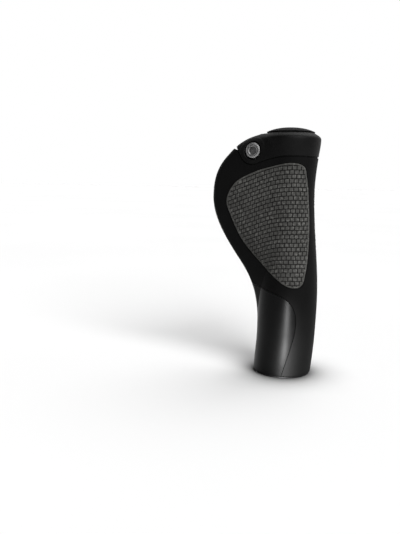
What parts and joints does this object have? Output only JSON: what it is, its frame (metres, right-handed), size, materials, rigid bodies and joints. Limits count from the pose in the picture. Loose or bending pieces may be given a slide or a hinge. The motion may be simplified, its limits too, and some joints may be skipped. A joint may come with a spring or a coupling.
{
  "type": "ergonomic handlebar grip",
  "caption": "Long ergonomic bicycle handlebar grip: a rubber sleeve with a flat palm wing and textured palm pad, held by a clamp ring with a socket-head bolt, closed by an end cap.",
  "frame": {"origin": "on the bar axis, in the plane of the open inboard end that the grip stands on", "axes": "+Z along the bar axis from the open end to the capped clamp end, the palm wing towards -X, the palm side facing -Y"},
  "size_m": [0.059, 0.0327, 0.135],
  "materials": {
    "core_plastic": "black moulded plastic",
    "body_rubber": "matte black rubber",
    "pad_rubber": "dark grey rubber with small raised tiles",
    "finger_rubber": "smooth black rubber, slightly glossy",
    "clamp_metal": "matte black coated aluminium",
    "bolt_steel": "zinc-plated steel",
    "cap_plastic": "black moulded plastic"
  },
  "bodies": {
    "root": {"core_sleeve": "core_plastic", "grip_body": "body_rubber", "palm_pad": "pad_rubber", "finger_zone": "finger_rubber", "clamp_ring": "clamp_metal", "clamp_bolt": "bolt_steel", "end_cap": "cap_plastic"}
  },
  "joints": []
}
